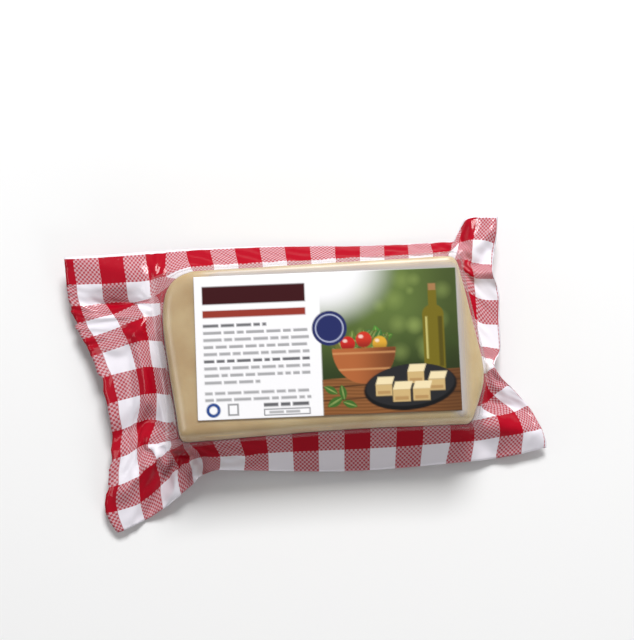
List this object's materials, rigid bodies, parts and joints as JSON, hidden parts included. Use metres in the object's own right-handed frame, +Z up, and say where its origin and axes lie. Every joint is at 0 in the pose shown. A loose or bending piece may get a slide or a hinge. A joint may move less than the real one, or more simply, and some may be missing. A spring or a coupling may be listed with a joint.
{
  "type": "vacuum-packed halloumi block",
  "caption": "Brick of halloumi cheese sealed between a clear front film and a checked back film, with a creased sealed edge all round and a plain label on the front.",
  "frame": {"origin": "middle of the bounding box's foot, on the surface that the pack lies on", "axes": "+X along the block's long side, to the right as the label is read; +Y towards the label's top edge; +Z up, out of the label"},
  "size_m": [0.186, 0.1166, 0.0321],
  "materials": {
    "cheese": "moist satin",
    "printed_film": "glossy print",
    "clear_film": "clear gloss",
    "label": "satin coated"
  },
  "bodies": {
    "root": {"cheese_block": "cheese", "printed_film": "printed_film", "clear_film": "clear_film", "label": "label"}
  },
  "joints": []
}
